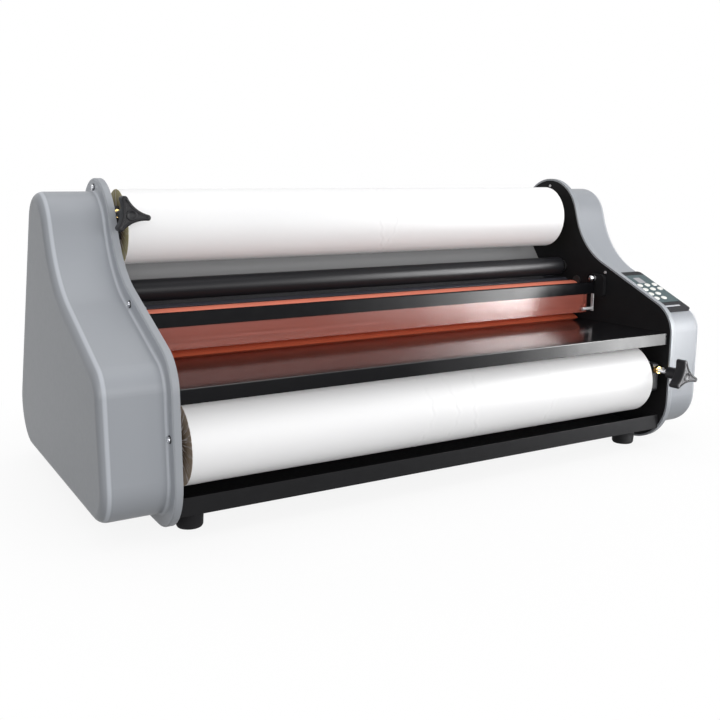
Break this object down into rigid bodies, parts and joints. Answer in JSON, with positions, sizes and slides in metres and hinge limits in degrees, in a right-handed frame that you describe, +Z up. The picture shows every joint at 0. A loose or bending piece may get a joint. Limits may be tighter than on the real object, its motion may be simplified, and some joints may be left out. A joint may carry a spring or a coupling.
{
  "type": "roll laminator",
  "caption": "Table-top roll laminator with heated rollers, film supply rolls above and below, feed table, hinged heat shield, key panel and brake knobs.",
  "frame": {"origin": "on the surface the feet stand on, midway between the covers and midway from the front knob's face to the rear edge", "axes": "+X to the right of a person feeding the machine, +Y to the back, +Z up"},
  "size_m": [0.883, 0.503, 0.3834],
  "materials": {
    "black_steel": "black textured powder coat",
    "cover_grey": "grey moulded plastic, fine texture",
    "hood_grey": "grey paint",
    "orange_silicone": "smooth orange silicone",
    "black_rubber": "black rubber",
    "steel": "turned steel",
    "zinc": "bright zinc",
    "brass": "machined brass",
    "film": "wound clear film, white from the side",
    "card": "brown cardboard",
    "black_tube": "satin black tube",
    "table_black": "glossy black-brown",
    "smoked": "clear, slightly tinted plastic",
    "black_plastic": "moulded black plastic",
    "keypad_blue": "teal-grey printed plate",
    "key_white": "white moulded keys",
    "gear_nylon": "natural nylon",
    "board_green": "green board",
    "aluminium": "turned aluminium"
  },
  "bodies": {
    "frame": {"left_side_plate": "black_steel", "right_side_plate": "black_steel", "left_cover": "cover_grey", "right_cover": "cover_grey", "cover_screws": "zinc", "base_pan": "black_steel", "feet": "black_rubber", "tie_bars": "steel", "rear_hood": "hood_grey", "rear_panel": "black_steel", "shaft_bearings": "gear_nylon", "brake_blocks": "black_plastic", "drive_motor": "steel", "heater_rods": "steel", "shield_pivots": "zinc", "control_bezel": "black_plastic", "keypad_plate": "keypad_blue", "circuit_boards": "board_green", "power_entry": "black_plastic"},
    "lower_heat_roller": {"lower_heat_core": "aluminium", "lower_heat_sleeve": "orange_silicone", "lower_heat_gear": "gear_nylon"},
    "upper_heat_roller": {"upper_heat_core": "aluminium", "upper_heat_sleeve": "orange_silicone", "upper_heat_gear": "gear_nylon"},
    "lower_pull_roller": {"lower_pull_roller": "black_rubber", "lower_pull_gear": "gear_nylon"},
    "upper_pull_roller": {"upper_pull_roller": "black_rubber", "upper_pull_gear": "gear_nylon"},
    "idler_gear": {"idler_gear": "gear_nylon"},
    "motor_pinion": {"motor_pinion": "steel"},
    "upper_supply": {"upper_supply_shaft": "steel", "upper_film_core": "card", "upper_film_roll": "film"},
    "lower_supply": {"lower_supply_shaft": "steel", "lower_film_core": "card", "lower_film_roll": "film"},
    "upper_idler": {"upper_idler": "black_tube"},
    "lower_idler": {"lower_idler": "black_tube"},
    "heat_shield": {"shield_bar": "black_steel", "shield_window": "smoked", "shield_strips": "zinc"},
    "feed_table": {"feed_table": "table_black"},
    "upper_brake_bush": {"upper_brake_bush": "brass"},
    "upper_knob": {"upper_tension_stud": "zinc", "upper_tension_knob": "black_plastic"},
    "lower_brake_bush": {"lower_brake_bush": "brass"},
    "lower_knob": {"lower_tension_stud": "zinc", "lower_tension_knob": "black_plastic"},
    "power_rocker": {"power_rocker": "black_plastic"},
    "key_1": {"key_1": "key_white"},
    "key_2": {"key_2": "key_white"},
    "key_3": {"key_3": "key_white"},
    "key_4": {"key_4": "key_white"},
    "key_5": {"key_5": "key_white"},
    "key_6": {"key_6": "key_white"},
    "key_7": {"key_7": "key_white"},
    "key_8": {"key_8": "key_white"},
    "key_9": {"key_9": "key_white"},
    "key_10": {"key_10": "key_white"}
  },
  "joints": [
    {"name": "lower_heat_spin", "type": "hinge", "parent": "frame", "child": "lower_heat_roller", "pos_m": [0, -0.01, 0.1485], "axis": [-1, 0, 0], "continuous": true},
    {"name": "upper_heat_spin", "type": "hinge", "parent": "frame", "child": "upper_heat_roller", "pos_m": [0, -0.01, 0.2005], "axis": [-1, 0, 0], "continuous": true},
    {"name": "lower_pull_spin", "type": "hinge", "parent": "frame", "child": "lower_pull_roller", "pos_m": [0, 0.07, 0.1485], "axis": [-1, 0, 0], "continuous": true},
    {"name": "upper_pull_spin", "type": "hinge", "parent": "frame", "child": "upper_pull_roller", "pos_m": [0, 0.07, 0.2005], "axis": [-1, 0, 0], "continuous": true},
    {"name": "idler_gear_spin", "type": "hinge", "parent": "frame", "child": "idler_gear", "pos_m": [0, 0.03, 0.1485], "axis": [-1, 0, 0], "continuous": true},
    {"name": "motor_pinion_spin", "type": "hinge", "parent": "frame", "child": "motor_pinion", "pos_m": [0, -0.01, 0.1085], "axis": [-1, 0, 0], "continuous": true},
    {"name": "upper_supply_spin", "type": "hinge", "parent": "frame", "child": "upper_supply", "pos_m": [0, 0.0403, 0.3243], "axis": [-1, 0, 0], "continuous": true},
    {"name": "lower_supply_spin", "type": "hinge", "parent": "frame", "child": "lower_supply", "pos_m": [0, -0.1526, 0.0983], "axis": [-1, 0, 0], "continuous": true},
    {"name": "upper_idler_spin", "type": "hinge", "parent": "frame", "child": "upper_idler", "pos_m": [0, 0.018, 0.2468], "axis": [-1, 0, 0], "continuous": true},
    {"name": "lower_idler_spin", "type": "hinge", "parent": "frame", "child": "lower_idler", "pos_m": [0, -0.08, 0.12], "axis": [-1, 0, 0], "continuous": true},
    {"name": "shield_tilt", "type": "hinge", "parent": "frame", "child": "heat_shield", "pos_m": [0, -0.059, 0.234], "axis": [-1, 0, 0], "range_deg": [0, 95]},
    {"name": "table_slide", "type": "slide", "parent": "frame", "child": "feed_table", "axis": [0, -1, 0], "range_m": [0, 0.16]},
    {"name": "upper_bush_slide", "type": "slide", "parent": "frame", "child": "upper_brake_bush", "axis": [0, -1, 0], "range_m": [0, 0.001]},
    {"name": "upper_knob_turn", "type": "hinge", "parent": "frame", "child": "upper_knob", "pos_m": [-0.3535, 0.0403, 0.3413], "axis": [0, -1, 0], "range_deg": [0, 360]},
    {"name": "lower_bush_slide", "type": "slide", "parent": "frame", "child": "lower_brake_bush", "axis": [0, -1, 0], "range_m": [0, 0.001]},
    {"name": "lower_knob_turn", "type": "hinge", "parent": "frame", "child": "lower_knob", "pos_m": [0.35, -0.1526, 0.1153], "axis": [0, -1, 0], "range_deg": [0, 360]},
    {"name": "rocker_tilt", "type": "hinge", "parent": "frame", "child": "power_rocker", "pos_m": [0.25, 0.222, 0.075], "axis": [1, 0, 0], "range_deg": [0, 24]},
    {"name": "key_1_press", "type": "slide", "parent": "frame", "child": "key_1", "axis": [0, 0.4067, -0.9135], "range_m": [0, 0.0004], "stiffness_N_per_m": 600, "springref_m": -0.0005},
    {"name": "key_2_press", "type": "slide", "parent": "frame", "child": "key_2", "axis": [0, 0.4067, -0.9135], "range_m": [0, 0.0004], "stiffness_N_per_m": 600, "springref_m": -0.0005},
    {"name": "key_3_press", "type": "slide", "parent": "frame", "child": "key_3", "axis": [0, 0.4067, -0.9135], "range_m": [0, 0.0004], "stiffness_N_per_m": 600, "springref_m": -0.0005},
    {"name": "key_4_press", "type": "slide", "parent": "frame", "child": "key_4", "axis": [0, 0.4067, -0.9135], "range_m": [0, 0.0004], "stiffness_N_per_m": 600, "springref_m": -0.0005},
    {"name": "key_5_press", "type": "slide", "parent": "frame", "child": "key_5", "axis": [0, 0.4067, -0.9135], "range_m": [0, 0.0004], "stiffness_N_per_m": 600, "springref_m": -0.0005},
    {"name": "key_6_press", "type": "slide", "parent": "frame", "child": "key_6", "axis": [0, 0.4067, -0.9135], "range_m": [0, 0.0004], "stiffness_N_per_m": 600, "springref_m": -0.0005},
    {"name": "key_7_press", "type": "slide", "parent": "frame", "child": "key_7", "axis": [0, 0.4067, -0.9135], "range_m": [0, 0.0004], "stiffness_N_per_m": 600, "springref_m": -0.0005},
    {"name": "key_8_press", "type": "slide", "parent": "frame", "child": "key_8", "axis": [0, 0.4067, -0.9135], "range_m": [0, 0.0004], "stiffness_N_per_m": 600, "springref_m": -0.0005},
    {"name": "key_9_press", "type": "slide", "parent": "frame", "child": "key_9", "axis": [0, 0.4067, -0.9135], "range_m": [0, 0.0004], "stiffness_N_per_m": 600, "springref_m": -0.0005},
    {"name": "key_10_press", "type": "slide", "parent": "frame", "child": "key_10", "axis": [0, 0.4067, -0.9135], "range_m": [0, 0.0004], "stiffness_N_per_m": 600, "springref_m": -0.0005}
  ],
  "couplings": [
    {"joint": "upper_heat_spin", "follows": "lower_heat_spin", "ratio": -1},
    {"joint": "idler_gear_spin", "follows": "lower_heat_spin", "ratio": -1.8571},
    {"joint": "lower_pull_spin", "follows": "lower_heat_spin", "ratio": 1},
    {"joint": "upper_pull_spin", "follows": "lower_heat_spin", "ratio": -1},
    {"joint": "motor_pinion_spin", "follows": "lower_heat_spin", "ratio": -1.8571},
    {"joint": "upper_bush_slide", "follows": "upper_knob_turn", "m_per_rad": 0.00015914},
    {"joint": "lower_bush_slide", "follows": "lower_knob_turn", "m_per_rad": 0.00015914}
  ]
}
